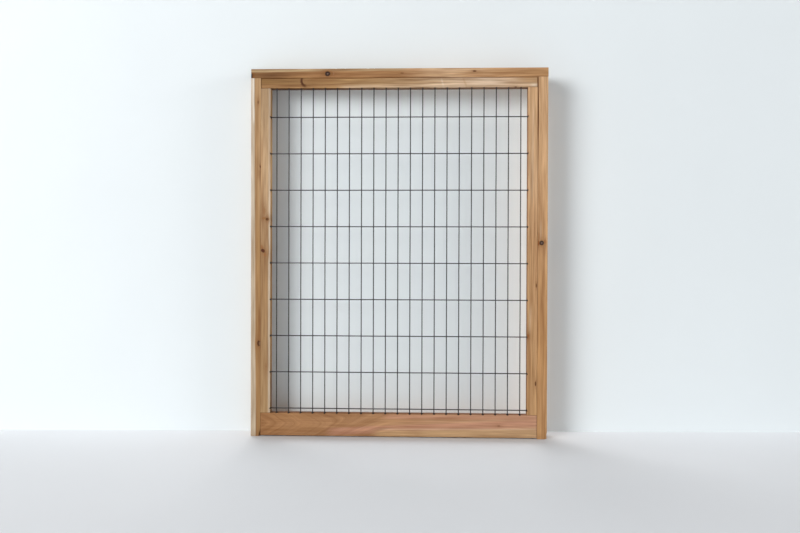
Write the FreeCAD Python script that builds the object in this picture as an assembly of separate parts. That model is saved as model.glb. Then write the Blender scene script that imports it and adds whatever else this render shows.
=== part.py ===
import FreeCAD, Part
import math
import os

# Hog wire fence panel: a cedar post-and-cap frame, a grooved inner frame set in it, and a welded wire mesh.
# Millimetres. X runs along the fence, Y from front to back, Z up.
# The origin is the middle of the left post's outer side face, where the panel is screwed to a fence post.

# Overall size
overall_width = 1235.0
overall_height = 1536.0

# Outer frame: two posts on edge, under a cap laid flat
post_face = 41.0
outer_depth = 95.0
cap_thickness = 38.0

# Inner frame: rails and stiles, set back a little from the posts and pushed against the left one
inner_depth = 38.0
inner_recess = 1.0
top_rail_recess = 3.0
top_rail_height = 43.0
bottom_rail_height = 95.0
stile_face = 41.0
foot_clearance = 3.5
side_play = 0.8

# Welded mesh: a front layer of upright wires and a rear layer of cross wires
wire_diameter = 4.2
wire_sides = 6
weld_sink = 0.6
upright_pitch = 50.8
cross_pitch = 152.4
first_upright_margin = 25.4
lowest_cross_height = 18.0
least_margin = 10.0

# Groove that holds the mesh, cut along the inner edge of each rail and stile
groove_lip = 6.0
groove_depth = 16.0
groove_clearance = 0.3
wire_end_clearance = 1.0

# Finish of the timber
edge_ease = 3.0
wane_width = 8.0
wane_depth = 12.0
wane_height = 40.0

# Levels and faces of the frame
post_length = overall_height - cap_thickness
foot_level = -post_length / 2
cap_underside = post_length / 2
bottom_rail_base = foot_level + foot_clearance
bottom_rail_top = bottom_rail_base + bottom_rail_height
top_rail_base = cap_underside - top_rail_height

outer_front = -outer_depth / 2
inner_front = outer_front + inner_recess
top_rail_front = outer_front + top_rail_recess

rail_start = post_face
rail_end = overall_width - post_face - side_play
rail_length = rail_end - rail_start

# The opening, and the mesh that fills it
opening_left = rail_start + stile_face
opening_right = rail_end - stile_face
opening_width = opening_right - opening_left
opening_height = top_rail_base - bottom_rail_top

groove_front = inner_front + groove_lip
mesh_thickness = 2 * wire_diameter - weld_sink
groove_width = mesh_thickness + 2 * groove_clearance
wire_reach = groove_depth - wire_end_clearance
upright_plane = groove_front + groove_clearance + wire_diameter / 2
cross_plane = upright_plane + wire_diameter - weld_sink

along_x = FreeCAD.Vector(1, 0, 0)
along_y = FreeCAD.Vector(0, 1, 0)
along_z = FreeCAD.Vector(0, 0, 1)


def box(low, size):
    """A plain block from its lowest corner and its size."""
    return Part.makeBox(size[0], size[1], size[2], FreeCAD.Vector(*low))


def eased_board(low, size, grain):
    """A sawn board whose long edges, those that run with the grain, are slightly rounded."""
    board = box(low, size)
    long_edges = [edge for edge in board.Edges if edge.Curve.Direction.cross(grain).Length < 1e-6]
    widest_ease = 0.4 * min(size)
    return board.makeFillet(min(edge_ease, widest_ease), long_edges)


def foot_wane(right_side):
    """The sliver lost at the front right edge of a post's foot, widest at the floor."""
    edge_foot = FreeCAD.Vector(right_side, outer_front, foot_level)
    corners = [
        edge_foot,
        edge_foot + along_z * wane_height,
        edge_foot - along_x * wane_width,
        edge_foot + along_y * wane_depth,
    ]
    faces = []
    for left_out in corners:
        triangle = [corner for corner in corners if corner != left_out]
        faces.append(Part.Face(Part.makePolygon(triangle + triangle[:1])))
    return Part.makeSolid(Part.makeShell(faces))


def post(left_side):
    """An upright on edge, from the floor to the underside of the cap."""
    low = (left_side, outer_front, foot_level)
    timber = eased_board(low, (post_face, outer_depth, post_length), along_z)
    return timber.cut(foot_wane(left_side + post_face))


def cap():
    """The top board, laid flat over both posts and flush with their outer sides."""
    low = (0, outer_front, cap_underside)
    return eased_board(low, (overall_width, outer_depth, cap_thickness), along_x)


def rail(front, base, height, groove_base):
    """A cross member between the posts, with the mesh groove along its inner edge."""
    timber = eased_board((rail_start, front, base), (rail_length, inner_depth, height), along_x)
    groove = box((rail_start, groove_front, groove_base), (rail_length, groove_width, groove_depth))
    return timber.cut(groove)


def stile(left_side, groove_left):
    """An upright member between the rails, with the mesh groove along its inner edge."""
    low = (left_side, inner_front, bottom_rail_top)
    timber = eased_board(low, (stile_face, inner_depth, opening_height), along_z)
    groove_low = (groove_left, groove_front, bottom_rail_top)
    groove = box(groove_low, (groove_depth, groove_width, opening_height))
    return timber.cut(groove)


def wire(start, direction, length, across):
    """A straight bar of few sides, with one flat to the front and one to the back."""
    corner_radius = wire_diameter / 2 / math.cos(math.pi / wire_sides)
    corners = []
    for number in range(wire_sides):
        angle = 2 * math.pi * (number + 0.5) / wire_sides
        depth_part = along_y * (corner_radius * math.cos(angle))
        across_part = across * (corner_radius * math.sin(angle))
        corners.append(start + depth_part + across_part)
    section = Part.Face(Part.makePolygon(corners + corners[:1]))
    return section.extrude(direction * length)


def upright_wires():
    """The front layer: wires that stand on the floor of the bottom rail's groove."""
    base = bottom_rail_top - groove_depth
    length = groove_depth + opening_height + wire_reach
    count = 1 + math.floor((opening_width - first_upright_margin - least_margin) / upright_pitch)
    wires = []
    for number in range(count):
        x = opening_left + first_upright_margin + number * upright_pitch
        wires.append(wire(FreeCAD.Vector(x, upright_plane, base), along_z, length, along_x))
    return wires


def cross_wires():
    """The rear layer: wires welded behind the uprights, with their ends in the stiles' grooves."""
    start = opening_left - wire_reach
    length = opening_width + 2 * wire_reach
    count = 1 + math.floor((opening_height - lowest_cross_height - least_margin) / cross_pitch)
    wires = []
    for number in range(count):
        z = bottom_rail_top + lowest_cross_height + number * cross_pitch
        wires.append(wire(FreeCAD.Vector(start, cross_plane, z), along_x, length, along_z))
    return wires


def wire_mesh():
    """Both layers of wires, joined where they are welded."""
    return Part.makeCompound(upright_wires()).fuse(Part.makeCompound(cross_wires()))


pieces = {
    "left_post": post(0),
    "right_post": post(overall_width - post_face),
    "top_cap": cap(),
    "top_rail": rail(top_rail_front, top_rail_base, top_rail_height, top_rail_base),
    "bottom_rail": rail(inner_front, bottom_rail_base, bottom_rail_height, bottom_rail_top - groove_depth),
    "left_stile": stile(rail_start, opening_left - groove_depth),
    "right_stile": stile(opening_right, opening_right),
    "wire_mesh": wire_mesh(),
}

os.makedirs("parts", exist_ok=True)
for name, shape in pieces.items():
    shape.exportStep(os.path.join("parts", name + ".step"))
    print(f"{name}: {len(shape.Solids)} solid, {shape.Volume / 1e6:.4f} litres, valid {shape.isValid()}")
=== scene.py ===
# Looks of the hog wire fence panel: cedar boards with grain, knots and sapwood, round welded wire and screws.
# Metres, in the frame of the solids: X along the fence, Y from front to back, Z up.
import itertools
import math
import random
from dataclasses import dataclass, field
from functools import partialmethod
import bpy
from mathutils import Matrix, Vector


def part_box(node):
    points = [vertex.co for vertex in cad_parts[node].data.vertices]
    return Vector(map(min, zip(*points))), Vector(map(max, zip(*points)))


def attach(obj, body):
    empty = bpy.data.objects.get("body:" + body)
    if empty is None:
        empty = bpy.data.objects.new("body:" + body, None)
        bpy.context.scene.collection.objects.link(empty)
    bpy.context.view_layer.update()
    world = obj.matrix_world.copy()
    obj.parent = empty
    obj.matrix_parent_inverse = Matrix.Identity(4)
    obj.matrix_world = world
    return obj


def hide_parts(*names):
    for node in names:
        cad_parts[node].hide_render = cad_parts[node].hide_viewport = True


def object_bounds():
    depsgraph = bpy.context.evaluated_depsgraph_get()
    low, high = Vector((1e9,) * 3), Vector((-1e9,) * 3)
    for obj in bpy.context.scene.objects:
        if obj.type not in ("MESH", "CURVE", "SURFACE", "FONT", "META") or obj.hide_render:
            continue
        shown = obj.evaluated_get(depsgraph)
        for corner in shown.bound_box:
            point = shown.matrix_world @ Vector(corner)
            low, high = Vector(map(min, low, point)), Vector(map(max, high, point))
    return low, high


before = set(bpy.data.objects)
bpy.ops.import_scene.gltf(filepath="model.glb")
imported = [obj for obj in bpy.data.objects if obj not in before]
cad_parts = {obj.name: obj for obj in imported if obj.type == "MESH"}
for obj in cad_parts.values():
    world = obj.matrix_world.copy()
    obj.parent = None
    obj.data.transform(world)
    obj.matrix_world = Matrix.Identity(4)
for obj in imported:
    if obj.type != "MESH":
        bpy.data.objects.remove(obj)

from types import SimpleNamespace

import bmesh
import bpy
import numpy as np
from mathutils import Color, Matrix, Vector, noise

cad_box = [list(corner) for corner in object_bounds()]
boxes = {node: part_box(node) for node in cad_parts}
panel_middle = (Vector(cad_box[0]) + Vector(cad_box[1])) / 2
mesh_low, mesh_high = boxes["wire_mesh"]

MM = 0.001
BODY = "root"
X, Y, Z = range(3)

# Long edges of a board, in the order of its outline
LOW_FRONT, HIGH_FRONT, HIGH_BACK, LOW_BACK = range(4)

# Sockets for colours on a mix node, which has others of the same names
MIX_UNDER, MIX_OVER, MIX_RESULT = 6, 7, 2

# Camera, fitted to the crossings of the wires and the edges of the frame
camera_place = Vector((0.7305, -3.0923, -0.0146))
camera_yaw = math.radians(-1.987)
camera_pitch = math.radians(-0.4065)
camera_roll = math.radians(0.181)
sensor_width = 36.0
image_width_pixels = 800
focal_length_pixels = 733
level_right = Vector((math.cos(camera_yaw), -math.sin(camera_yaw), 0))

# Timber shapes: rounded edges, planed faces, nicks, the groove that the mesh stands in and the posts' wane
edge_ease = 3.0 * MM
ease_spread = 0.3
ease_growth = 3
ease_noise = Vector((7, 5.3, 1))  # cells per metre, per edge and per seed
edge_turns = 5
station_step = 9.0 * MM
side_step = 11.0 * MM
end_stations = (0.15, 0.5, 1.0)
surface_wave = 0.22 * MM
surface_noise = Vector((9, 30, 30))  # cells per metre
nicks_per_board = 9
nick_span = (0.03, 0.97)
nick_half_length = (3.0 * MM, 12.0 * MM)
nick_depth = (0.8 * MM, 3.5 * MM)
nick_stations = 7
groove_depth = boxes["bottom_rail"][1][Z] - mesh_low[Z]
groove_clearance = 0.3 * MM
groove_arris = 0.5 * MM
wane_width = 8.0 * MM
wane_depth = 12.0 * MM
wane_height = 40.0 * MM
wane_margin = 4.0 * MM
wane_stations = 14
wane_roughness = 0.4 * MM
wane_waves_per_metre = 120
smooth_angle = math.radians(38)
seed_step = 20.0

# Timber grain: its rings and how they wander, knots and streaks, what use and weather leave, and painted
# shade where the wires go in
ring_width = 2.6 * MM
ring_unevenness = 3.0
ring_waver = 2.2 * MM
grain_sway = 22.0 * MM
grain_curl = 14.0 * MM
taper_blend = 120.0 * MM
tone_drift = 300.0 * MM
streak_sway = 0.12
streak_waver = 3.0 * MM
streak_reach_soft = 2.0 * MM
knot_lean = 0.22
knot_roughness = 0.6
crescent_roughness = 0.25
knot_rings = 3.5
ringed_from = 0.6
# Painted shade where the wires go in: its half length, depth and width
entry_shade_half_length = 6.0 * MM
entry_shade_half_depth = 15.0 * MM
entry_shade_half_width = 5.0 * MM
soiled_height = 45.0 * MM
rubbed_from = 5.0 * MM
rubbed_to = 1.0 * MM
late_wood_ridge = 0.10 * MM
fibre_ridge = 0.09 * MM
knot_dip = 0.25 * MM
rubbed_dip = 0.05 * MM

# Welded mesh
weld_sink = 0.6 * MM
wire_sides = 10
upright_pitch = 50.8 * MM
cross_pitch = 152.4 * MM
first_upright_margin = 25.4 * MM
lowest_cross_height = 18.0 * MM
least_margin = 10.0 * MM
wire_wave = 0.35 * MM
wire_noise = Vector((6, 9.1, 1))  # cells per metre, per way and per seed
wire_seed_step = 31
wire_station_step = 20.0 * MM
grit_ridge = 0.05 * MM
weld_half_size = Vector((2.8, 1.7, 2.8)) * MM

# Screws, driven through the cap and through the outer sides of the posts
screw_head_radius = 4.0 * MM
screw_head_height = 2.4 * MM
screw_shank_radius = 2.1 * MM
screw_sunk = 0.5 * MM
screw_recess_radius = 1.9 * MM
screw_recess_depth = 1.5 * MM
screw_recess_draft = 0.85
screw_bevel = 0.3 * MM
screw_lobes = 6
screw_lobe_share = 0.18
screw_sides = 24
countersink_radius = 4.8 * MM
countersink_depth = 3.6 * MM
countersink_overcut = 1.0 * MM
cap_screw_offset = 24.0 * MM
rail_screw_offset = 25.0 * MM
stile_screw_height = 330.0 * MM

# Stage, with its paint on a scale of 0 to 255
floor_reach = 9.0
backdrop_half_width = 1.95
backdrop_height = 2.3
backdrop_gap = 26.0 * MM
paint_shade = 0.94
FLOOR_PAINT = (231, 233, 236)
BACKDROP_PAINT = (243, 249, 251)

# Light, in watts and degrees. Bearings count from the front towards the left.
AIR_COLOUR = (0.96, 0.985, 1.0, 1.0)
air_strength = 0.19
seen_air_strength = 0.72
softbox_distance = 12.0
softboxes = {
    "key_softbox": {"power": 1000.0, "size": 6.0, "bearing": 44, "height": 15},
    "fill_softbox": {"power": 480.0, "size": 5.0, "bearing": -76, "height": 8},
}
rear_bearing = 160
rear_height = 50
rear_strength = 1.2
rear_spread = math.radians(35)

# Colours of cedar on a scale of 0 to 255
AMBER = (160, 117, 75)
HONEY = (168, 127, 85)
TAN = (182, 141, 99)
PALE = (212, 184, 154)
SAPWOOD = (194, 176, 153)
BLEACHED = (236, 227, 214)
PINK = (197, 145, 119)
STRAW = (200, 164, 122)
RUST = (130, 82, 42)
# Painted shade in the gaps between boards and under the cap
SEAM_SHADE = (116, 68, 26)
KNOT_BROWN = (84, 46, 22)
KNOT_BLACK = (46, 30, 22)
KNOT_HEART = (122, 97, 84)

# Colours of the coating and of the dust on it, as linear shares
COATING_BLACK = (0.010, 0.010, 0.012, 1.0)
COATING_DUST = (0.045, 0.044, 0.044, 1.0)


@dataclass
class Pattern:
    """Cloudy noise: cells per metre along its three ways, a seed of its own, how fine it is and how rough."""
    scales: tuple
    seed: float
    detail: float = 2.0
    roughness: float = 0.5


# Patterns that run along the grain, across it and inwards
SWAY = Pattern((2.2, 4, 4), 10)
CURL = Pattern((28, 45, 20), 11, detail=1)
WAVER = Pattern((6, 45, 45), 12)
FIBRES = Pattern((16, 800, 800), 17)
PATCHES = Pattern((9, 30, 30), 18)
RIBBONS = Pattern((7, 140, 140), 20, detail=1)
KNOT_BLUR = Pattern((110, 240, 80), 0)
# Blur of the painted shade where the wires go in
ENTRY_SHADE_BLUR = Pattern((260, 260, 260), 9, detail=1)

# Patterns that run outwards from the pith, or round it, and then along the grain
UNEVEN_RINGS = Pattern((60, 0.2, 0), 13, detail=1)
BROAD_BANDS = Pattern((42, 0.8, 0), 14, detail=1)
BANDS = Pattern((105, 4, 0), 15, roughness=0.65)
LINES = Pattern((430, 3, 0), 16, detail=1)
END_CHECKS = Pattern((16, 1.5, 0), 19, detail=1)
KNOT_SPOKES = Pattern((2.2, 0.6, 0), 0, detail=1)

# Patterns of the coating and of the studio's paint
DUST_PATCHES = Pattern((60, 60, 60), 3, detail=3)
GRIT = Pattern((900, 900, 900), 4)
PAINT_CLOUDS = Pattern((1.3, 1.3, 1.3), 7, detail=3)

# Light and dark shades of broad patterns: where each starts and is full, and shares of red, green and blue
BROAD_SHADES = ((0.48, 0.66, (1.18, 1.19, 1.19)), (0.52, 0.34, (0.80, 0.73, 0.65)))
BAND_SHADES = ((0.48, 0.70, (1.30, 1.33, 1.33)), (0.50, 0.28, (0.60, 0.50, 0.40)))
RIBBON_SHADES = ((0.48, 0.66, (1.20, 1.23, 1.24)), (0.50, 0.32, (0.76, 0.68, 0.60)))

# Shares of red, green and blue that other marks leave of the colour
DARK_LINE = (0.78, 0.70, 0.62)
LATE_WOOD = (0.62, 0.50, 0.41)
DARK_FIBRE = (0.78, 0.72, 0.66)
# Painted shade where the wires go in
WIRE_ENTRY_SHADE = (0.05, 0.04, 0.03)
SAWN_END = (0.60, 0.51, 0.44)
END_CHECK = (0.30, 0.24, 0.20)
SOILED = (0.72, 0.66, 0.60)
RUBBED = (1.16, 1.18, 1.20)
KNOT_RING = (1.7, 1.6, 1.5)
KNOT_CRACK = (0.4, 0.35, 0.32)


# What the boards show. Places along the grain and across the front are millimetres of the frame.
@dataclass
class Knot:
    """A branch that crosses the board, stretched along the grain and turned by some degrees.

    Heart is the pale share of its radius, halo how much it rusts the wood round it and bend how far it pushes
    the grain aside. A crescent is dark on one side only, at an angle from the way of the grain.
    """
    along: float
    across: float
    radius: float
    stretch: float
    dark: float = 0.9
    colour: tuple = KNOT_BROWN
    heart: float = 0.0
    halo: float = 0.8
    turn: float = 0.0
    crescent: float = None
    bend: float = 0.85


@dataclass
class Streak:
    """A band of other colour, from one place along and across the grain to another.

    Its sides are soft, its ends fade out and it reaches only so far behind the front.
    """
    start: tuple
    end: tuple
    half_width: float
    colour: tuple
    strength: float
    soft: float = 2.5
    fade: float = 60.0
    reach: float = 200.0


@dataclass
class Board:
    """One piece of timber: its grain, its colours and what its front shows.

    The pith lies across and behind the board's middle, by so much where pith_run or the board starts and by
    so much where it ends. Taper is how fast rings widen along the grain, and up to where. Curl is where wavy
    grain stops being full and where it ends. Eases are radii of long edges at their low and high ends. Nicks
    are dents: place along the grain, edge, half length and depth.
    """
    node: str
    slot: str
    grain: int
    tones: tuple
    pith: tuple
    pith_run: tuple = ()
    taper: tuple = ()
    contrast: float = 1.0
    # Painted light and shade on the inner face, as shares of red, green and blue
    inner_painted_shading: tuple = (0.62, 0.50, 0.40)
    # How strong the painted shade is where the wires go in
    entry_shade_strength: float = 1.0
    groove_side: int = 0
    has_wane: bool = False
    curl: tuple = ()
    eases: dict = field(default_factory=dict)
    end_ease: float = 0.9
    nicks: tuple = ()
    knots: tuple = ()
    streaks: tuple = ()

    @property
    def across_axis(self):
        """The axis across the front face: X on uprights, Z on the others."""
        return X if self.grain == Z else Z


# Edge radii at the tight joint between the left post and its stile
TIGHT = (0.5, 0.5)

left_post = Board(
    "left_post", "cedar_post", Z, pith=((150, 60), (140, 75)), has_wane=True, contrast=0.55,
    tones=((-749, (158, 118, 75)), (100, (160, 121, 79)), (450, (172, 133, 92)), (749, (177, 140, 100))),
    eases={HIGH_FRONT: TIGHT},
    knots=(
        Knot(648, 30, 3.6, 1.8, dark=0.5),
        Knot(379, 40, 3.0, 1.8, turn=20),
        Knot(352, 36, 4.0, 2.2, dark=0.0, halo=0.6),
        Knot(-360, 34, 6.6, 1.8, dark=1.0, colour=(80, 46, 22)),
        Knot(-361, 38.5, 3.2, 2.2, dark=0.5, colour=(156, 124, 90), halo=0.0, bend=0.0),
    ),
    streaks=(
        Streak((-760, 8), (760, 0), 14, SAPWOOD, 0.9, reach=55),
        Streak((100, 5), (560, 5), 8, (222, 211, 196), 0.35, fade=300, reach=8),
        Streak((565, 10), (770, 9), 4.0, BLEACHED, 0.85, fade=40, reach=8),
        # Painted shade along the rounded outer edge
        Streak((-760, 1), (770, 1), 3.5, (192, 168, 144), 0.4, soft=1.5, reach=8),
        Streak((400, 1), (770, 1), 3.5, (184, 158, 130), 0.8, soft=1.5, fade=200, reach=8),
        Streak((-345, 35), (-220, 36), 5, RUST, 0.6, fade=90),
        # Painted light along the right edge, where the joint with the stile is shaded
        Streak((150, 39), (760, 39), 7, (184, 149, 110), 0.7, soft=6, fade=200, reach=8),
    ),
)
right_post = Board(
    "right_post", "cedar_post", Z, pith=((-150, 60), (-150, 60)), has_wane=True, contrast=0.62,
    tones=((-749, (208, 163, 115)), (-250, (191, 145, 98)), (300, (206, 164, 122)), (749, (213, 173, 132))),
    eases={LOW_FRONT: (0.5, 1.2)},
    knots=(
        Knot(62, 1197, 4.5, 2.2, dark=0.8, colour=(134, 76, 36), halo=1.0),
        Knot(68, 1223, 4.0, 1.8, dark=0.5, colour=(164, 100, 52)),
        Knot(92, 1199, 1.8, 9.0, dark=0.7, colour=(134, 80, 42), halo=0.3),
        Knot(63, 1210, 9.2, 1.05, dark=1.0, colour=(62, 45, 36), heart=0.4),
    ),
    streaks=(
        Streak((80, 1205), (150, 1206), 3.5, PALE, 0.6, soft=3, fade=50),
        # Painted shade in the gap next to the right stile
        Streak((440, 1194), (760, 1194), 2.0, SEAM_SHADE, 0.9, soft=1, fade=300),
    ),
)
top_cap = Board(
    "top_cap", "cedar_cap", X, pith=((-130, 90), (-130, 90)), contrast=0.75,
    tones=((0, (124, 87, 52)), (330, (167, 122, 80)), (600, (169, 126, 85)), (830, (214, 178, 141)),
           (1000, (198, 156, 114)), (1235, (190, 147, 104))),
    knots=(
        Knot(321, 765, 10.0, 1.05, dark=1.0, colour=KNOT_BLACK, heart=0.35),
        Knot(631, 766, 4.0, 1.8, dark=0.35, halo=0.5),
        Knot(931, 773, 3.2, 2.3, halo=0.9),
    ),
    streaks=(
        Streak((-20, 783), (640, 787), 10, (180, 154, 118), 0.8),
        Streak((-9, 758), (14, 758), 12, RUST, 0.8, soft=5, fade=10, reach=12),
        Streak((-9, 757), (6, 757), 10, KNOT_BLACK, 1.0, soft=4, fade=6, reach=9),
        Streak((700, 790), (1000, 790), 6, PALE, 0.5, fade=90),
        Streak((344, 766), (348, 766), 5, PALE, 0.3, soft=3, fade=3),
    ),
)
top_rail = Board(
    "top_rail", "cedar_rail", X, pith=((150, 80), (150, 80)), groove_side=-1, end_ease=2.0,
    # Painted shade on the underside, and a weaker painted shade where the wires go in
    inner_painted_shading=(0.22, 0.11, 0.05), entry_shade_strength=0.25, contrast=0.85,
    tones=((41, (136, 100, 59)), (450, (165, 129, 88)), (700, (177, 144, 108)), (950, (216, 190, 164)),
           (1193, (187, 150, 111))),
    nicks=((1101, LOW_FRONT, 9, 5),),
    knots=(
        Knot(227, 736, 24.0, 0.85, dark=1.0, halo=0.15, crescent=205, bend=0.15),
        Knot(1101, 707, 2.5, 2.2, dark=0.7, halo=0.4),
    ),
    streaks=(
        Streak((30, 711), (430, 711), 11, HONEY, 0.75, soft=6),
        Streak((235, 738), (360, 738), 9, RUST, 0.3, soft=5),
        Streak((380, 706), (1200, 714), 12, PALE, 0.55, soft=5),
        Streak((793, 740), (806, 708), 11, BLEACHED, 0.22, soft=10, fade=12),
        Streak((884, 742), (900, 708), 9, TAN, 0.4, soft=8, fade=9),
        Streak((1166, 715), (1190, 715), 6, BLEACHED, 0.35, soft=4, fade=25),
        # Painted shadow under the cap, and painted shade at both ends beside the posts
        Streak((30, 749), (1200, 749), 3.0, SEAM_SHADE, 0.8, soft=1.4),
        Streak((38, 727), (43, 727), 30, SEAM_SHADE, 0.5, soft=1, fade=2),
        Streak((1190, 727), (1196, 727), 30, SEAM_SHADE, 1.0, soft=1, fade=2),
    ),
)
bottom_rail = Board(
    "bottom_rail", "cedar_rail", X, pith=((2, -10), (80, 30)), pith_run=(260, 640), groove_side=1,
    # Painted shade on the top face
    taper=(0.5, 360), contrast=0.5, inner_painted_shading=(0.42, 0.30, 0.20), curl=(300, 420),
    tones=((41, (163, 117, 75)), (600, (184, 140, 101)), (1193, (203, 162, 130))),
    knots=(Knot(1036, -696, 3.5, 1.6, dark=0.35, halo=0.4),),
    streaks=(
        Streak((330, -727), (1200, -684), 15, PINK, 0.75, soft=5),
        Streak((560, -663), (1200, -660), 9, PINK, 0.6, soft=5),
        Streak((520, -738), (1200, -728), 18, STRAW, 0.75, soft=3),
        Streak((540, -715), (1200, -708), 2.5, PALE, 0.55),
    ),
)
left_stile = Board(
    "left_stile", "cedar_stile", Z, pith=((-150, 70), (-140, 80)), groove_side=1, contrast=0.55,
    # Painted light on the inner face
    inner_painted_shading=(1.3, 1.12, 0.86),
    tones=((-650, (173, 140, 100)), (0, (157, 120, 82)), (350, (205, 172, 134)), (706, (164, 134, 101))),
    eases={LOW_FRONT: TIGHT},
    knots=(
        Knot(164, 56, 9.0, 0.5, dark=0.65, colour=(142, 96, 52), bend=0.3),
        Knot(193, 56, 4.5, 3.0, dark=0.35, colour=(156, 104, 60), halo=0.6, bend=0.3),
        Knot(160, 68, 6.5, 0.9, dark=1.0, colour=(98, 60, 30), halo=1.0),
        Knot(44, 46, 5.0, 1.8, dark=0.5, colour=(148, 90, 46), halo=0.5, turn=25, bend=0.3),
        Knot(11, 60, 5.5, 1.2, dark=0.5, colour=(160, 102, 56), halo=0.6, bend=0.3),
        Knot(28, 51, 6.8, 1.3, dark=1.0, colour=(84, 42, 20), halo=0.9, turn=40),
        Knot(-459, 65, 5.0, 2.0, dark=0.0, halo=0.7),
    ),
    streaks=(
        Streak((-660, 78), (720, 79), 6, (190, 175, 158), 0.5, reach=4),
        Streak((-660, 82), (-480, 82), 1.2, KNOT_BROWN, 0.7, soft=0.8, fade=120, reach=60),
        Streak((-660, 79), (250, 79), 4.5, (218, 202, 180), 0.65, fade=300, reach=4),
        Streak((170, 72), (230, 73), 3.5, PALE, 0.5, soft=2),
        Streak((160, 44), (500, 44), 7, AMBER, 0.55, soft=5, fade=150),
    ),
)
right_stile = Board(
    "right_stile", "cedar_stile", Z, pith=((150, 60), (150, 60)), groove_side=-1, contrast=0.6,
    # Painted shade on the inner face
    inner_painted_shading=(0.42, 0.33, 0.26),
    tones=((-650, (190, 148, 104)), (100, (192, 150, 109)), (330, (204, 165, 126)), (706, (200, 160, 120))),
    eases={HIGH_FRONT: (0.5, 2.6)},
    knots=(
        Knot(-113, 1189, 2.8, 3.0, dark=0.7),
        Knot(-322, 1156, 4.5, 1.5, dark=0.5, colour=(150, 84, 40), halo=1.0),
        Knot(-519, 1187, 3.0, 3.2),
    ),
    streaks=(
        Streak((250, 1169), (640, 1174), 4, PALE, 0.5, soft=3, fade=120),
        Streak((-305, 1162), (-210, 1166), 4, PALE, 0.45, soft=3),
        # Painted shade in the gap next to the right post
        Streak((440, 1193), (760, 1193), 2.0, SEAM_SHADE, 0.9, soft=1, fade=300),
    ),
)
boards = (left_post, right_post, top_cap, top_rail, bottom_rail, left_stile, right_stile)


# Places taken from the frame
def middle_of(node):
    """The middle of a node's box."""
    low, high = boxes[node]
    return (low + high) / 2


def wire_lines():
    """X of the upright wires and Z of the cross wires, spaced evenly from the left and from below."""
    first_upright = boxes["left_stile"][1][X] + first_upright_margin
    first_cross = boxes["bottom_rail"][1][Z] + lowest_cross_height
    upright_end = boxes["right_stile"][0][X] - least_margin
    cross_end = boxes["top_rail"][0][Z] - least_margin
    uprights = np.arange(first_upright, upright_end, upright_pitch)
    crosses = np.arange(first_cross, cross_end, cross_pitch)
    return uprights.tolist(), crosses.tolist()


# Shading helpers
def linear(colour):
    """A colour on a scale of 0 to 255, as the linear values that shaders take."""
    return (*Color([part / 255 for part in colour]).from_srgb_to_scene_linear(), 1.0)


def plug(value, socket):
    """Feeds a field, another node's output or a plain value into a socket."""
    if isinstance(value, Field):
        value = value.socket
    if isinstance(value, bpy.types.NodeSocket):
        socket.id_data.links.new(value, socket)
    else:
        socket.default_value = value


def feed(node, values):
    """Plugs values into a node's sockets by name."""
    for name, value in values.items():
        plug(value, node.inputs[name])


class Field:
    """A number that varies over a surface: a node's output that sums can be written with."""

    def __init__(self, socket):
        self.socket = socket
        self.tree = socket.id_data

    def apply(self, operation, *others):
        """Puts the field, and any other values after it, through a step of maths."""
        node = self.tree.nodes.new("ShaderNodeMath")
        node.operation = operation
        for place, value in enumerate((self, *others)):
            plug(value, node.inputs[place])
        return Field(node.outputs[0])

    __add__ = partialmethod(apply, "ADD")
    __sub__ = partialmethod(apply, "SUBTRACT")
    __mul__ = partialmethod(apply, "MULTIPLY")
    __truediv__ = partialmethod(apply, "DIVIDE")
    at_least = partialmethod(apply, "MAXIMUM")
    at_most = partialmethod(apply, "MINIMUM")

    def __rsub__(self, number):
        return self * -1.0 + number

    def ramp(self, start, end):
        """0 at start, 1 at end and smooth between them, whichever of the two is the larger."""
        node = self.tree.nodes.new("ShaderNodeMapRange")
        node.interpolation_type = "SMOOTHSTEP"
        feed(node, {"Value": self, "From Min": start, "From Max": end})
        return Field(node.outputs["Result"])

    def within(self, limit, soft):
        """1 below a limit, 0 above it and smooth between them."""
        return self.ramp(limit + soft, limit - soft)


def noise_field(place, pattern, seed=0.0):
    """A pattern of cloudy noise, from 0 to 1. A seed gives each board its own."""
    tree = place[0].tree
    joined = tree.nodes.new("ShaderNodeCombineXYZ")
    for axis in range(3):
        plug(place[axis] * pattern.scales[axis], joined.inputs[axis])
    node = tree.nodes.new("ShaderNodeTexNoise")
    node.noise_dimensions = "4D"
    feed(node, {
        "Vector": joined.outputs[0],
        "W": pattern.seed + seed,
        "Scale": 1.0,
        "Detail": pattern.detail,
        "Roughness": pattern.roughness,
    })
    return Field(node.outputs[0])


def tint(under, over, amount, mode="MIX"):
    """Lays one colour over another, by an amount that varies over the surface."""
    node = amount.tree.nodes.new("ShaderNodeMix")
    node.data_type = "RGBA"
    node.blend_type = mode
    plug(amount, node.inputs["Factor"])
    plug(under, node.inputs[MIX_UNDER])
    plug(over, node.inputs[MIX_OVER])
    return node.outputs[MIX_RESULT]


def scale_colour(under, shares, amount):
    """Multiplies a colour by shares of red, green and blue: for grain, wear and painted light and shade."""
    return tint(under, (*shares, 1.0), amount, "MULTIPLY")


def new_material(name):
    """A new material, its nodes and its shader."""
    material = bpy.data.materials.new(name)
    material.use_nodes = True
    tree = material.node_tree
    return material, tree, tree.nodes["Principled BSDF"]


def three_ways(output):
    """The X, Y and Z of a node's output."""
    split = output.id_data.nodes.new("ShaderNodeSeparateXYZ")
    plug(output, split.inputs[0])
    return [Field(part) for part in split.outputs]


def row_place(tree):
    """X, Y and Z in the frame, in metres."""
    return three_ways(tree.nodes.new("ShaderNodeTexCoord").outputs["Object"])


def facing(tree):
    """X, Y and Z of the way that the surface faces."""
    return three_ways(tree.nodes.new("ShaderNodeNewGeometry").outputs["Normal"])


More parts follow.
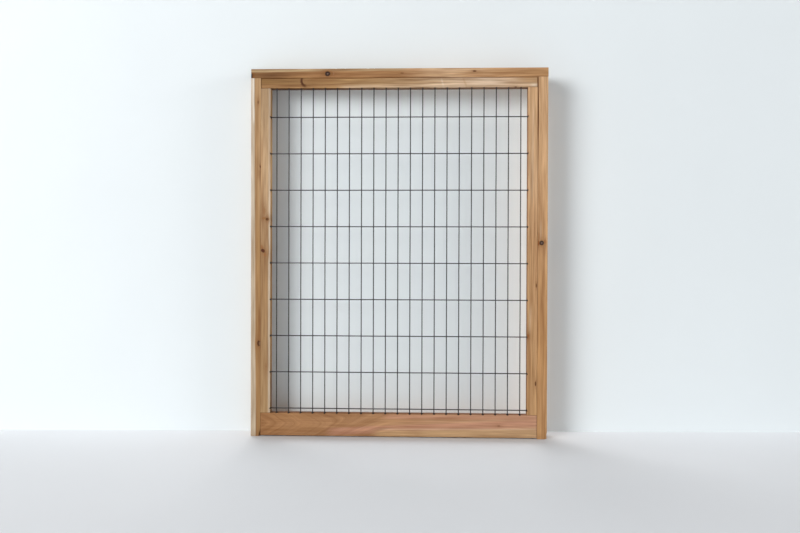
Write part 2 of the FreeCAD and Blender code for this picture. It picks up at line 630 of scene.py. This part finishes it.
def bump(height, strength):
    """A normal from a height in metres."""
    node = height.tree.nodes.new("ShaderNodeBump")
    feed(node, {"Height": height, "Strength": strength, "Distance": 1.0})
    return node.outputs["Normal"]


# Cedar
def knot_place(knot, local, front):
    """Places across and along a knot, in its own half widths and half lengths. It leans as it goes in."""
    along, across, depth = local
    radius = knot.radius * MM
    sideways = across - (depth - front) * knot_lean - knot.across * MM
    lengthwise = along - knot.along * MM
    turn = math.radians(knot.turn)
    side = (sideways * math.cos(turn) + lengthwise * math.sin(turn)) / radius
    length = (lengthwise * math.cos(turn) - sideways * math.sin(turn)) / (radius * knot.stretch)
    return side, length


def knot_disc(knot, side, length, reach):
    """How dark a knot is: over its whole disc, or on a crescent at one side of it."""
    disc = reach.ramp(1.2, 0.8) * knot.dark
    if knot.crescent is None:
        return disc
    angle = math.radians(knot.crescent)
    towards = length * math.cos(angle) + side * math.sin(angle)
    return disc * reach.ramp(0.42, 0.68) * towards.ramp(-0.1, 0.6)


def knot_marks(board, local, seed):
    """How far knots push the grain aside, the rust round them, and what each one shows of itself."""
    along, _, depth = local
    front = boxes[board.node][0][Y]
    push = along * 0.0
    halo = along * 0.0
    marks = []
    for number, knot in enumerate(board.knots):
        side, length = knot_place(knot, local, front)
        away = side * side + length * length
        blur = noise_field(local, KNOT_BLUR, seed + number)
        push = push + side * (-knot.bend * knot.radius * MM * knot.dark) / away.at_least(1.0)
        glow = (side * side * 0.16 + length * length * 0.06 + 1.0).apply("POWER", -2.0)
        halo = halo.at_least(glow * (blur * 1.4 + 0.3) * knot.halo)
        rough = knot_roughness if knot.crescent is None else crescent_roughness
        reach = away.apply("SQRT") * (blur * rough + (1.0 - rough / 2))
        spokes = noise_field((side.apply("ARCTAN2", length), reach, depth), KNOT_SPOKES, seed + number)
        marks.append(SimpleNamespace(
            disc=knot_disc(knot, side, length, reach),
            heart=reach.within(knot.heart, 0.15) * (0.8 if knot.heart else 0.0),
            rings=(reach * knot_rings + blur).apply("FRACT").ramp(0.3, 1.0),
            cracks=spokes.ramp(0.60, 0.66) * reach.ramp(0.05, 0.25),
        ))
    return push, halo, marks


def ring_place(board, local, bent):
    """Where the grain is, seen from the pith: its distance and its angle round it."""
    along, _, depth = local
    low, high = boxes[board.node]
    run = [end * MM for end in board.pith_run] or [low[board.grain], high[board.grain]]
    share = along.ramp(*run)

    def off_pith(here, axis, start, end):
        return here - (share * ((end - start) * MM) + (middle_of(board.node)[axis] + start * MM))

    (start_across, start_depth), (end_across, end_depth) = board.pith
    off_across = off_pith(bent, board.across_axis, start_across, end_across)
    off_depth = off_pith(depth, Y, start_depth, end_depth)
    distance = (off_across * off_across + off_depth * off_depth).apply("SQRT")
    if board.taper:
        lean, until = board.taper
        distance = distance + along.apply("SMOOTH_MIN", until * MM, taper_blend) * lean
    return distance, off_across.apply("ARCTAN2", off_depth)


def grain_patterns(board, local, push, seed):
    """The patterns that make up a board's grain. Those of the rings are bent by knots and by slow sways."""
    along, across, depth = local

    def pattern(place, kind):
        return noise_field(place, kind, seed)

    sway = (pattern(local, SWAY) - 0.5) * grain_sway
    bent = across + push + sway
    if board.curl:
        full_until, gone_at = board.curl
        curl = (pattern(local, CURL) - 0.5) * grain_curl
        bent = bent + curl * along.ramp(gone_at * MM, full_until * MM)
    radius, angle = ring_place(board, local, bent)
    radius = radius + (pattern(local, WAVER) - 0.5) * ring_waver
    ringed = (radius, along, depth)
    ring = (radius / ring_width + pattern(ringed, UNEVEN_RINGS) * ring_unevenness).apply("FRACT")
    return SimpleNamespace(
        sway=sway,
        late=ring.ramp(0.4, 0.9) * ring.ramp(1.0, 0.93),
        broad=pattern(ringed, BROAD_BANDS),
        band=pattern(ringed, BANDS),
        line=pattern(ringed, LINES),
        ribbon=pattern(local, RIBBONS),
        fibre=pattern(local, FIBRES),
        cloud=pattern(local, PATCHES),
        check=pattern((angle, along, depth), END_CHECKS),
    )


def streak_mask(streak, along, across, behind):
    """How strong a streak is: full on its middle line, nothing past its sides and ends or deep behind."""
    start, start_across = (part * MM for part in streak.start)
    end, end_across = (part * MM for part in streak.end)
    half_fade = streak.fade * MM / 2
    middle = (along - start) * ((end_across - start_across) / (end - start)) + start_across
    side = (across - middle).apply("ABSOLUTE").within(streak.half_width * MM, streak.soft * MM)
    length = along.ramp(start - half_fade, start + half_fade) * along.within(end, half_fade)
    return side * length * behind.within(streak.reach * MM, streak_reach_soft) * streak.strength


def lengthwise_tones(board, along):
    """The board's ground colour, which changes from one end to the other."""
    low, high = boxes[board.node]
    length = high[board.grain] - low[board.grain]
    node = along.tree.nodes.new("ShaderNodeValToRGB")
    stops = node.color_ramp.elements
    for number, (place, colour) in enumerate(board.tones):
        share = (place * MM - low[board.grain]) / length
        stop = stops[number] if number < 2 else stops.new(share)
        stop.position = share
        stop.color = linear(colour)
    plug((along - low[board.grain]) / length, node.inputs[0])
    return node.outputs[0]


def rubbed_edges(board, local, cloud):
    """1 along the long edges of a board, in patches."""
    _, across, depth = local
    low, high = boxes[board.node]
    axis = board.across_axis
    to_side = (across - low[axis]).at_most(high[axis] - across)
    to_face = (depth - low[Y]).at_most(high[Y] - depth)
    near_edge = to_side.ramp(rubbed_from, rubbed_to) * to_face.ramp(rubbed_from, rubbed_to)
    return near_edge * cloud.ramp(0.38, 0.62)


def wire_entry_shade(board, local, seed):
    """Painted shade where the wires go into the wood: how dark it is there."""
    along, across, depth = local
    low, high = boxes[board.node]
    axis = board.across_axis
    uprights, crosses = wire_lines()
    wires, pitch = (uprights, upright_pitch) if board.grain == X else (crosses, cross_pitch)
    number = ((along - wires[0]) / pitch).apply("ROUND").at_least(0.0).at_most(len(wires) - 1.0)
    off_wire = (along - number * pitch - wires[0]) / entry_shade_half_length
    off_groove = (depth - middle_of("wire_mesh")[Y]) / entry_shade_half_depth
    to_edge = high[axis] - across if board.groove_side > 0 else across - low[axis]
    off_edge = to_edge / entry_shade_half_width
    away = (off_wire * off_wire + off_groove * off_groove + off_edge * off_edge).apply("SQRT")
    blur = noise_field(local, ENTRY_SHADE_BLUR, seed)
    return (away * (blur * 0.8 + 0.6)).ramp(1.05, 0.65) * board.entry_shade_strength


def ground_colour(board, local, push, grain):
    """A board's tones from end to end, with its streaks, which bend round knots."""
    along, across, depth = local
    behind = depth - boxes[board.node][0][Y]
    bent = across + push + grain.sway * streak_sway + (grain.band - 0.5) * streak_waver
    colour = lengthwise_tones(board, along + (grain.cloud - 0.5) * tone_drift)
    for streak in board.streaks:
        colour = tint(colour, linear(streak.colour), streak_mask(streak, along, bent, behind))
    return colour


def grained_colour(board, colour, halo, grain):
    """Light and dark grain, a little stronger round knots, with fine lines, late wood and fibres."""
    strong = (halo * 0.1 + 0.9) * board.contrast
    layers = ((grain.broad, BROAD_SHADES), (grain.band, BAND_SHADES), (grain.ribbon, RIBBON_SHADES))
    for pattern, shades in layers:
        for start, end, shares in shades:
            colour = scale_colour(colour, shares, pattern.ramp(start, end) * strong)
    colour = scale_colour(colour, DARK_LINE, grain.line.ramp(0.52, 0.72) * (0.8 * board.contrast))
    colour = scale_colour(colour, LATE_WOOD, grain.late * (0.35 * board.contrast))
    return scale_colour(colour, DARK_FIBRE, grain.fibre.ramp(0.4, 0.8) * 0.45)


def painted_shading_and_wear(board, place, colour, grain, inner, ends, rubbed):
    """Painted light and shade on the inner side, sawn ends with checks, soiled feet and rubbed edges."""
    foot = (place[Z] - cad_box[0][Z]).ramp(soiled_height, 0.0) * grain.cloud.ramp(0.3, 0.7)
    # Painted light and shade on the inner face
    colour = scale_colour(colour, board.inner_painted_shading, inner * 0.85)
    colour = scale_colour(colour, SAWN_END, ends * 0.85)
    colour = scale_colour(colour, END_CHECK, grain.check.ramp(0.66, 0.70) * ends)
    colour = scale_colour(colour, SOILED, foot * 0.6)
    return scale_colour(colour, RUBBED, rubbed * 0.6)


def knotted_colour(board, colour, halo, marks):
    """Rust round the knots, and the knots themselves, of which the darker ones show rings and cracks."""
    colour = tint(colour, linear(RUST), halo * 0.7)
    for knot, mark in zip(board.knots, marks):
        colour = tint(colour, linear(knot.colour), mark.disc)
        if knot.dark > ringed_from and knot.crescent is None:
            colour = scale_colour(colour, KNOT_RING, mark.rings * mark.disc * 0.6)
            colour = scale_colour(colour, KNOT_CRACK, mark.cracks * mark.disc)
        colour = tint(colour, linear(KNOT_HEART), mark.heart)
    return colour


def cedar(board, seed):
    """Timber as it grew: rings round a pith, bent by knots and cut by the board's faces."""
    material, tree, shader = new_material("cedar_" + board.node)
    place = row_place(tree)
    local = (place[board.grain], place[board.across_axis], place[Y])
    normal = facing(tree)
    push, halo, marks = knot_marks(board, local, seed)
    grain = grain_patterns(board, local, push, seed)
    # Where the inner face is, which gets painted light and shade
    inner = (normal[board.across_axis] * float(board.groove_side)).ramp(0.5, 0.9)
    ends = normal[board.grain].apply("ABSOLUTE").ramp(0.6, 0.9)
    rubbed = rubbed_edges(board, local, grain.cloud)
    colour = ground_colour(board, local, push, grain)
    colour = grained_colour(board, colour, halo, grain)
    colour = painted_shading_and_wear(board, place, colour, grain, inner, ends, rubbed)
    # Painted shade where the wires go into the groove
    if board.groove_side:
        colour = scale_colour(colour, WIRE_ENTRY_SHADE, wire_entry_shade(board, local, seed))
    sunk = halo * 0.0
    for mark in marks:
        sunk = sunk.at_least(mark.disc)
    raised = grain.late * late_wood_ridge + grain.fibre * fibre_ridge
    height = raised - sunk * knot_dip - rubbed * rubbed_dip
    feed(shader, {
        "Base Color": knotted_colour(board, colour, halo, marks),
        "Roughness": grain.fibre * 0.18 + grain.late * 0.1 + ends * 0.12 + 0.56,
        "Specular IOR Level": 0.22,
        "Normal": bump(height, 0.7),
    })
    return material


# Timber shapes
def groove_points(edge, inward, first, last):
    """The mesh groove in one side of a section: down one wall, along the floor and up the other."""
    way = np.sign(last - first)
    floor = edge + inward * groove_depth
    lip = edge + inward * groove_arris
    return np.array([
        (edge, first - way * groove_arris),
        (lip, first),
        (floor, first),
        (floor, last),
        (lip, last),
        (edge, last + way * groove_arris),
    ])


def board_section(board, low, high, eases, counts):
    """A board's outline as across and depth, anticlockwise from its low front edge, with rounded edges."""
    quarter = math.pi / 2
    corners_at_high = ((False, False), (True, False), (True, True), (False, True))
    arcs = []
    for number, at_high in enumerate(corners_at_high):
        ease = eases[number]
        centre = np.where(at_high, high - ease, low + ease)
        angles = quarter * (2 + number) + np.linspace(0, quarter, edge_turns + 1)
        arcs.append(centre + ease * np.stack([np.cos(angles), np.sin(angles)], axis=1))
    groove_front = mesh_low[Y] - groove_clearance
    groove_back = mesh_high[Y] + groove_clearance
    outline = []
    for number, arc in enumerate(arcs):
        outline.append(arc)
        following = arcs[(number + 1) % len(arcs)]
        if number == HIGH_FRONT and board.groove_side > 0:
            outline.append(groove_points(high[0], -1, groove_front, groove_back))
        elif number == LOW_BACK and board.groove_side < 0:
            outline.append(groove_points(low[0], 1, groove_back, groove_front))
        else:
            outline.append(np.linspace(arc[-1], following[0], counts[number] + 2)[1:-1])
    return np.concatenate(outline)


def place_nicks(board, low_end, length, dice):
    """Small dents in a board's long edges: distance from its low end, edge, half length and depth."""
    nicks = [(along * MM - low_end, edge, half * MM, depth * MM) for along, edge, half, depth in board.nicks]
    for _ in range(nicks_per_board):
        nicks.append((
            dice.uniform(*nick_span) * length,
            dice.randrange(4),
            dice.uniform(*nick_half_length),
            dice.uniform(*nick_depth),
        ))
    return nicks


def board_stations(board, length, nicks):
    """Distances from a board's low end at which its section is drawn."""
    end_ease = board.end_ease * MM
    stations = set(np.linspace(0, length, round(length / station_step) + 1))
    for share in end_stations:
        stations.update((share * end_ease, length - share * end_ease))
    for centre, _, half_length, _ in nicks:
        dent = centre + half_length * np.linspace(-1, 1, nick_stations)
        stations.update(np.clip(dent, end_ease, length - end_ease))
    if board.has_wane:
        stations.update(np.linspace(end_ease, wane_height + wane_margin, wane_stations))
    return sorted(stations)


def end_inset(board, distance):
    """How far a section draws in near a sawn end, whose arris is slightly rounded."""
    end_ease = board.end_ease * MM
    gap = max(0.0, end_ease - distance)
    return end_ease - math.sqrt(end_ease ** 2 - gap ** 2)


def ease_of_edge(board, corner, station, length, nicks, seed):
    """Radius of one long edge at a station: what the board gives it, uneven sanding, and nicks."""
    ease = edge_ease
    if corner in board.eases:
        low_ease, high_ease = board.eases[corner]
        ease = (low_ease + (high_ease - low_ease) * (station / length) ** ease_growth) * MM
    ease *= 1 + ease_spread * noise.noise(Vector((station, corner, seed)) * ease_noise)
    for centre, edge, half_length, depth in nicks:
        off = abs(station - centre) / half_length
        if edge == corner and off < 1:
            ease += depth * (1 - off * off) ** 2
    return ease


def inward_wave(outline, station, seed):
    """Draws an outline in by the slight hollows that a planer leaves."""
    ahead = np.roll(outline, -1, axis=0) - np.roll(outline, 1, axis=0)
    lengths = np.maximum(np.linalg.norm(ahead, axis=1), 1e-9)
    outward = np.stack([ahead[:, 1], -ahead[:, 0]], axis=1) / lengths[:, None]
    spots = [Vector((station, *point)) * surface_noise + Vector((0, 0, seed)) for point in outline]
    hollows = surface_wave * np.array([0.5 + 0.5 * noise.noise(spot) for spot in spots])
    return outline - outward * hollows[:, None]


def cut_wane(outline, height, right_side, front, seed):
    """Takes the sliver off the front right edge of a post's foot, at one height above the floor."""
    share = 1 - height / wane_height
    if share <= 0:
        return outline
    width = wane_width * share
    depth = wane_depth * share
    normal = np.array([depth, -width]) / math.hypot(width, depth)
    rough = wane_roughness * (1 + noise.noise(Vector((height * wane_waves_per_metre, seed, 0))))
    beyond = (outline - np.array([right_side - width, front])) @ normal + rough * share
    return outline - np.maximum(beyond, 0)[:, None] * normal


def skin_rings(shape, rings):
    """Joins rings of vertices into a closed tube with flat ends."""
    for ring, following in zip(rings, rings[1:]):
        for number in range(len(ring)):
            after = (number + 1) % len(ring)
            shape.faces.new((ring[number], ring[after], following[after], following[number]))
    shape.faces.new(rings[0])
    shape.faces.new(rings[-1])


def board_shape(board, seed):
    """A board swept along its grain, with worn edges, softened ends and its groove."""
    dice = random.Random(seed)
    low, high = boxes[board.node]
    axis = board.across_axis
    length = high[board.grain] - low[board.grain]
    flat_low = np.array([low[axis], low[Y]])
    flat_high = np.array([high[axis], high[Y]])
    spans = flat_high - flat_low
    counts = [max(1, round(spans[number % 2] / side_step)) for number in range(4)]
    nicks = place_nicks(board, low[board.grain], length, dice)
    shape = bmesh.new()
    rings = []
    for station in board_stations(board, length, nicks):
        inset = end_inset(board, min(station, length - station))
        eases = [ease_of_edge(board, corner, station, length, nicks, seed) for corner in range(4)]
        outline = board_section(board, flat_low + inset, flat_high - inset, eases, counts)
        outline = inward_wave(outline, station, seed)
        if board.has_wane:
            outline = cut_wane(outline, station, high[axis], low[Y], seed)
        points = np.full((len(outline), 3), low[board.grain] + station)
        points[:, (axis, Y)] = outline
        rings.append([shape.verts.new(point) for point in points])
    skin_rings(shape, rings)
    bmesh.ops.triangulate(shape, faces=[face for face in shape.faces if len(face.verts) > 4])
    return shape


# Pieces of the part
def mesh_object(name, shape):
    """A new object from a bmesh."""
    mesh = bpy.data.meshes.new(name)
    shape.to_mesh(mesh)
    shape.free()
    thing = bpy.data.objects.new(name, mesh)
    bpy.context.scene.collection.objects.link(thing)
    return thing


def closed_object(name, shape):
    """A new object from a closed bmesh, with its faces turned outwards."""
    bmesh.ops.recalc_face_normals(shape, faces=shape.faces)
    return mesh_object(name, shape)


def finish_piece(piece, material, slot, *nodes):
    """Gives a piece its finish, and lets it ride on the one body in place of its nodes."""
    piece.data.shade_smooth()
    piece.data.set_sharp_from_angle(angle=smooth_angle)
    piece.data.materials.clear()
    piece.data.materials.append(material)
    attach(piece, BODY)
    if nodes:
        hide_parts(*nodes)


def cut_out(piece, shape):
    """Cuts a closed shape out of a piece."""
    cutter = closed_object("cutter", shape)
    modifier = piece.modifiers.new("cut", "BOOLEAN")
    modifier.operation = "DIFFERENCE"
    modifier.solver = "EXACT"
    modifier.object = cutter
    whole = piece.data
    seen = piece.evaluated_get(bpy.context.evaluated_depsgraph_get())
    piece.data = bpy.data.meshes.new_from_object(seen)
    piece.modifiers.clear()
    bpy.data.objects.remove(cutter)
    bpy.data.meshes.remove(whole)


# Screws
def screw_places():
    """Where screws go: for each board that they are driven through, their points and the way out."""
    cap_top = boxes["top_cap"][1][Z]
    inner_depth = middle_of("top_rail")[Y]
    low_rail = middle_of("bottom_rail")[Z]
    heights = (low_rail - rail_screw_offset, low_rail + rail_screw_offset,
               -stile_screw_height, stile_screw_height, middle_of("top_rail")[Z])
    rail_low, rail_high = boxes["top_rail"]
    quarters = np.linspace(rail_low[X], rail_high[X], 5)[1:-1]
    cap_points = [Vector((x, inner_depth, cap_top)) for x in quarters]
    places = {"top_cap": (cap_points, Vector((0, 0, 1)))}
    for post, outer, way in (("left_post", 0, -1), ("right_post", 1, 1)):
        side = boxes[post][outer][X]
        places[post] = ([Vector((side, inner_depth, z)) for z in heights], Vector((way, 0, 0)))
        for offset in (-cap_screw_offset, cap_screw_offset):
            cap_points.append(Vector((middle_of(post)[X], offset, cap_top)))
    return places


def turned_rings(shape, profile, place, outward):
    """A closed tube of rings round an axis, each from its radius, its height and how far lobes stand out."""
    turn = outward.to_track_quat("Z", "Y")
    angles = np.arange(screw_sides) * (math.tau / screw_sides)
    rings = []
    for radius, height, lobe_share in profile:
        reach = radius * (1 + lobe_share * np.cos(screw_lobes * angles))
        flat = zip(reach * np.cos(angles), reach * np.sin(angles))
        rings.append([shape.verts.new(place + turn @ Vector((x, y, height))) for x, y in flat])
    skin_rings(shape, rings)


def countersinks(points, outward):
    """Cones to cut, wide enough to leave a shadow line round each screw's head."""
    shape = bmesh.new()
    slope = (countersink_radius - screw_shank_radius) / countersink_depth
    profile = (
        (screw_shank_radius, -countersink_depth, 0),
        (countersink_radius + slope * countersink_overcut, countersink_overcut, 0),
    )
    for point in points:
        turned_rings(shape, profile, point, outward)
    return shape


def add_screws(coating):
    """Countersunk heads with a star recess, just below the surface, as one piece."""
    profile = (
        (screw_shank_radius, -screw_head_height, 0),
        (screw_head_radius, -screw_bevel, 0),
        (screw_head_radius - screw_bevel, 0, 0),
        (screw_recess_radius, 0, screw_lobe_share),
        (screw_recess_radius * screw_recess_draft, -screw_recess_depth, screw_lobe_share),
    )
    shape = bmesh.new()
    for points, outward in screw_places().values():
        for point in points:
            turned_rings(shape, profile, point - outward * screw_sunk, outward)
    finish_piece(closed_object("frame_screws", shape), coating, "black_wire")


def add_boards():
    """The seven boards, with countersinks where screws go in."""
    screws = screw_places()
    for number, board in enumerate(boards):
        seed = seed_step * (number + 1)
        piece = closed_object("cedar_" + board.node, board_shape(board, seed))
        if board.node in screws:
            cut_out(piece, countersinks(*screws[board.node]))
        finish_piece(piece, cedar(board, seed), board.slot, board.node)


# Welded mesh
def black_coating():
    """Satin black coating on steel, with a little dust and uneven gloss."""
    material, tree, shader = new_material("black_coating")
    place = row_place(tree)
    cloud = noise_field(place, DUST_PATCHES)
    grit = noise_field(place, GRIT)
    dust = cloud.ramp(0.45, 0.8) * 0.6 + grit.ramp(0.55, 0.8) * 0.25
    feed(shader, {
        "Base Color": tint(COATING_BLACK, COATING_DUST, dust),
        "Roughness": cloud * 0.25 + 0.36,
        "Specular IOR Level": 0.4,
        "Normal": bump(grit * grit_ridge, 0.5),
    })
    return material


def add_wire(shape, start, end, axis, diameter, seed):
    """A round wire from start to end, straight but for a slight wave that dies out at its ends."""
    length = end[axis] - start[axis]
    across = (axis + 1) % 3
    outward = (axis + 2) % 3
    angles = np.arange(wire_sides) * (math.tau / wire_sides)
    rings = []
    for share in np.linspace(0, 1, round(length / wire_station_step) + 1):
        centre = start.lerp(end, share)
        wave = wire_wave * math.sin(math.pi * share)
        for way in (across, outward):
            centre[way] += wave * noise.noise(Vector((share * length, way, seed)) * wire_noise)
        points = np.tile(centre, (wire_sides, 1))
        points[:, across] += diameter / 2 * np.cos(angles)
        points[:, outward] += diameter / 2 * np.sin(angles)
        rings.append([shape.verts.new(point) for point in points])
    skin_rings(shape, rings)


def add_wire_mesh(coating):
    """Upright wires in front, cross wires behind, and a small flat weld bead at every crossing."""
    diameter = (mesh_high[Y] - mesh_low[Y] + weld_sink) / 2
    uprights, crosses = wire_lines()
    upright_plane = mesh_low[Y] + diameter / 2
    cross_plane = mesh_high[Y] - diameter / 2
    shape = bmesh.new()
    for x in uprights:
        ends = [Vector((x, upright_plane, corner[Z])) for corner in boxes["wire_mesh"]]
        add_wire(shape, *ends, Z, diameter, x * wire_seed_step)
    for z in crosses:
        ends = [Vector((corner[X], cross_plane, z)) for corner in boxes["wire_mesh"]]
        add_wire(shape, *ends, X, diameter, z * wire_seed_step)
    weld_plane = (upright_plane + cross_plane) / 2
    for x, z in itertools.product(uprights, crosses):
        place = Matrix.LocRotScale(Vector((x, weld_plane, z)), None, weld_half_size)
        bmesh.ops.create_icosphere(shape, subdivisions=2, radius=1.0, matrix=place)
    finish_piece(closed_object("welded_mesh", shape), coating, "black_wire", "wire_mesh")


# Stage, light and camera
def stage_material(name, paint, one_sided):
    """Matt pale paint with a faint cloudiness. A camera behind one-sided paint doesn't see it."""
    material, tree, shader = new_material(name)
    cloud = noise_field(row_place(tree), PAINT_CLOUDS)
    colour = scale_colour(linear(paint), (paint_shade,) * 3, cloud)
    feed(shader, {"Base Color": colour, "Roughness": 0.9, "Specular IOR Level": 0.1})
    if one_sided:
        geometry = tree.nodes.new("ShaderNodeNewGeometry")
        light_path = tree.nodes.new("ShaderNodeLightPath")
        seen_from_behind = Field(geometry.outputs["Backfacing"]) * light_path.outputs["Is Camera Ray"]
        plug(1.0 - seen_from_behind, shader.inputs["Alpha"])
    return material


def stage_sheet(name, corners, material):
    """A flat sheet of the studio, not part of the panel."""
    shape = bmesh.new()
    shape.faces.new([shape.verts.new(corner) for corner in corners])
    sheet = mesh_object(name, shape)
    sheet.data.materials.append(material)
    return sheet


def add_stage():
    """A pale floor, and a pale sheet close behind the panel for its shadow, left out of gloss and shadows."""
    floor_level = cad_box[0][Z]
    signs = ((-1, -1), (1, -1), (1, 1), (-1, 1))
    floor_corners = [(x * floor_reach, y * floor_reach, floor_level) for x, y in signs]
    stage_sheet("studio_floor", floor_corners, stage_material("pale_floor", FLOOR_PAINT, False))
    base = Vector((panel_middle[X], cad_box[1][Y] + backdrop_gap, floor_level))
    left = base - level_right * backdrop_half_width
    right = base + level_right * backdrop_half_width
    rise = Vector((0, 0, backdrop_height))
    backdrop = stage_sheet("studio_backdrop", [left, right, right + rise, left + rise],
                           stage_material("pale_backdrop", BACKDROP_PAINT, True))
    backdrop.visible_glossy = False
    backdrop.visible_shadow = False


def way_to(bearing, height):
    """The way to a light, from its bearing and height in degrees."""
    bearing = math.radians(bearing)
    height = math.radians(height)
    flat = math.cos(height)
    return Vector((-math.sin(bearing) * flat, -math.cos(bearing) * flat, math.sin(height)))


def add_lamp(name, kind, energy, place, way):
    """A lamp at a place, which shines back along the way out to it."""
    light = bpy.data.lights.new(name, kind)
    light.energy = energy
    lamp = bpy.data.objects.new(name, light)
    lamp.matrix_world = Matrix.LocRotScale(place, way.to_track_quat("Z", "Y"), None)
    bpy.context.scene.collection.objects.link(lamp)
    return light


def add_light():
    """Pale air all round, a large softbox at the left, a weaker one at the right and a sun from behind."""
    world = bpy.data.worlds.new("studio_air")
    world.use_nodes = True
    tree = world.node_tree
    light_path = tree.nodes.new("ShaderNodeLightPath")
    air = tree.nodes["Background"]
    seen = Field(light_path.outputs["Is Camera Ray"]) * (seen_air_strength - air_strength)
    feed(air, {"Color": AIR_COLOUR, "Strength": seen + air_strength})
    bpy.context.scene.world = world
    for name, values in softboxes.items():
        way = way_to(values["bearing"], values["height"])
        softbox = add_lamp(name, "AREA", values["power"], panel_middle + way * softbox_distance, way)
        softbox.shape = "DISK"
        softbox.size = values["size"]
    rear_way = way_to(rear_bearing, rear_height)
    rear = add_lamp("rear_light", "SUN", rear_strength, panel_middle + rear_way, rear_way)
    rear.angle = rear_spread
    bpy.context.scene.view_settings.view_transform = "Standard"


def add_camera():
    """The photo's own view: a plain perspective with a little yaw, pitch and roll."""
    lens = bpy.data.cameras.new("photo_camera")
    lens.sensor_width = sensor_width
    lens.lens = sensor_width * focal_length_pixels / image_width_pixels
    camera = bpy.data.objects.new("photo_camera", lens)
    turned = Matrix.Translation(camera_place)
    for angle, axis in ((-camera_yaw, "Z"), (math.pi / 2 + camera_pitch, "X"), (camera_roll, "Z")):
        turned = turned @ Matrix.Rotation(angle, 4, axis)
    camera.matrix_world = turned
    bpy.context.scene.collection.objects.link(camera)
    bpy.context.scene.camera = camera


add_boards()
coating = black_coating()
add_wire_mesh(coating)
add_screws(coating)
add_stage()
add_light()
add_camera()
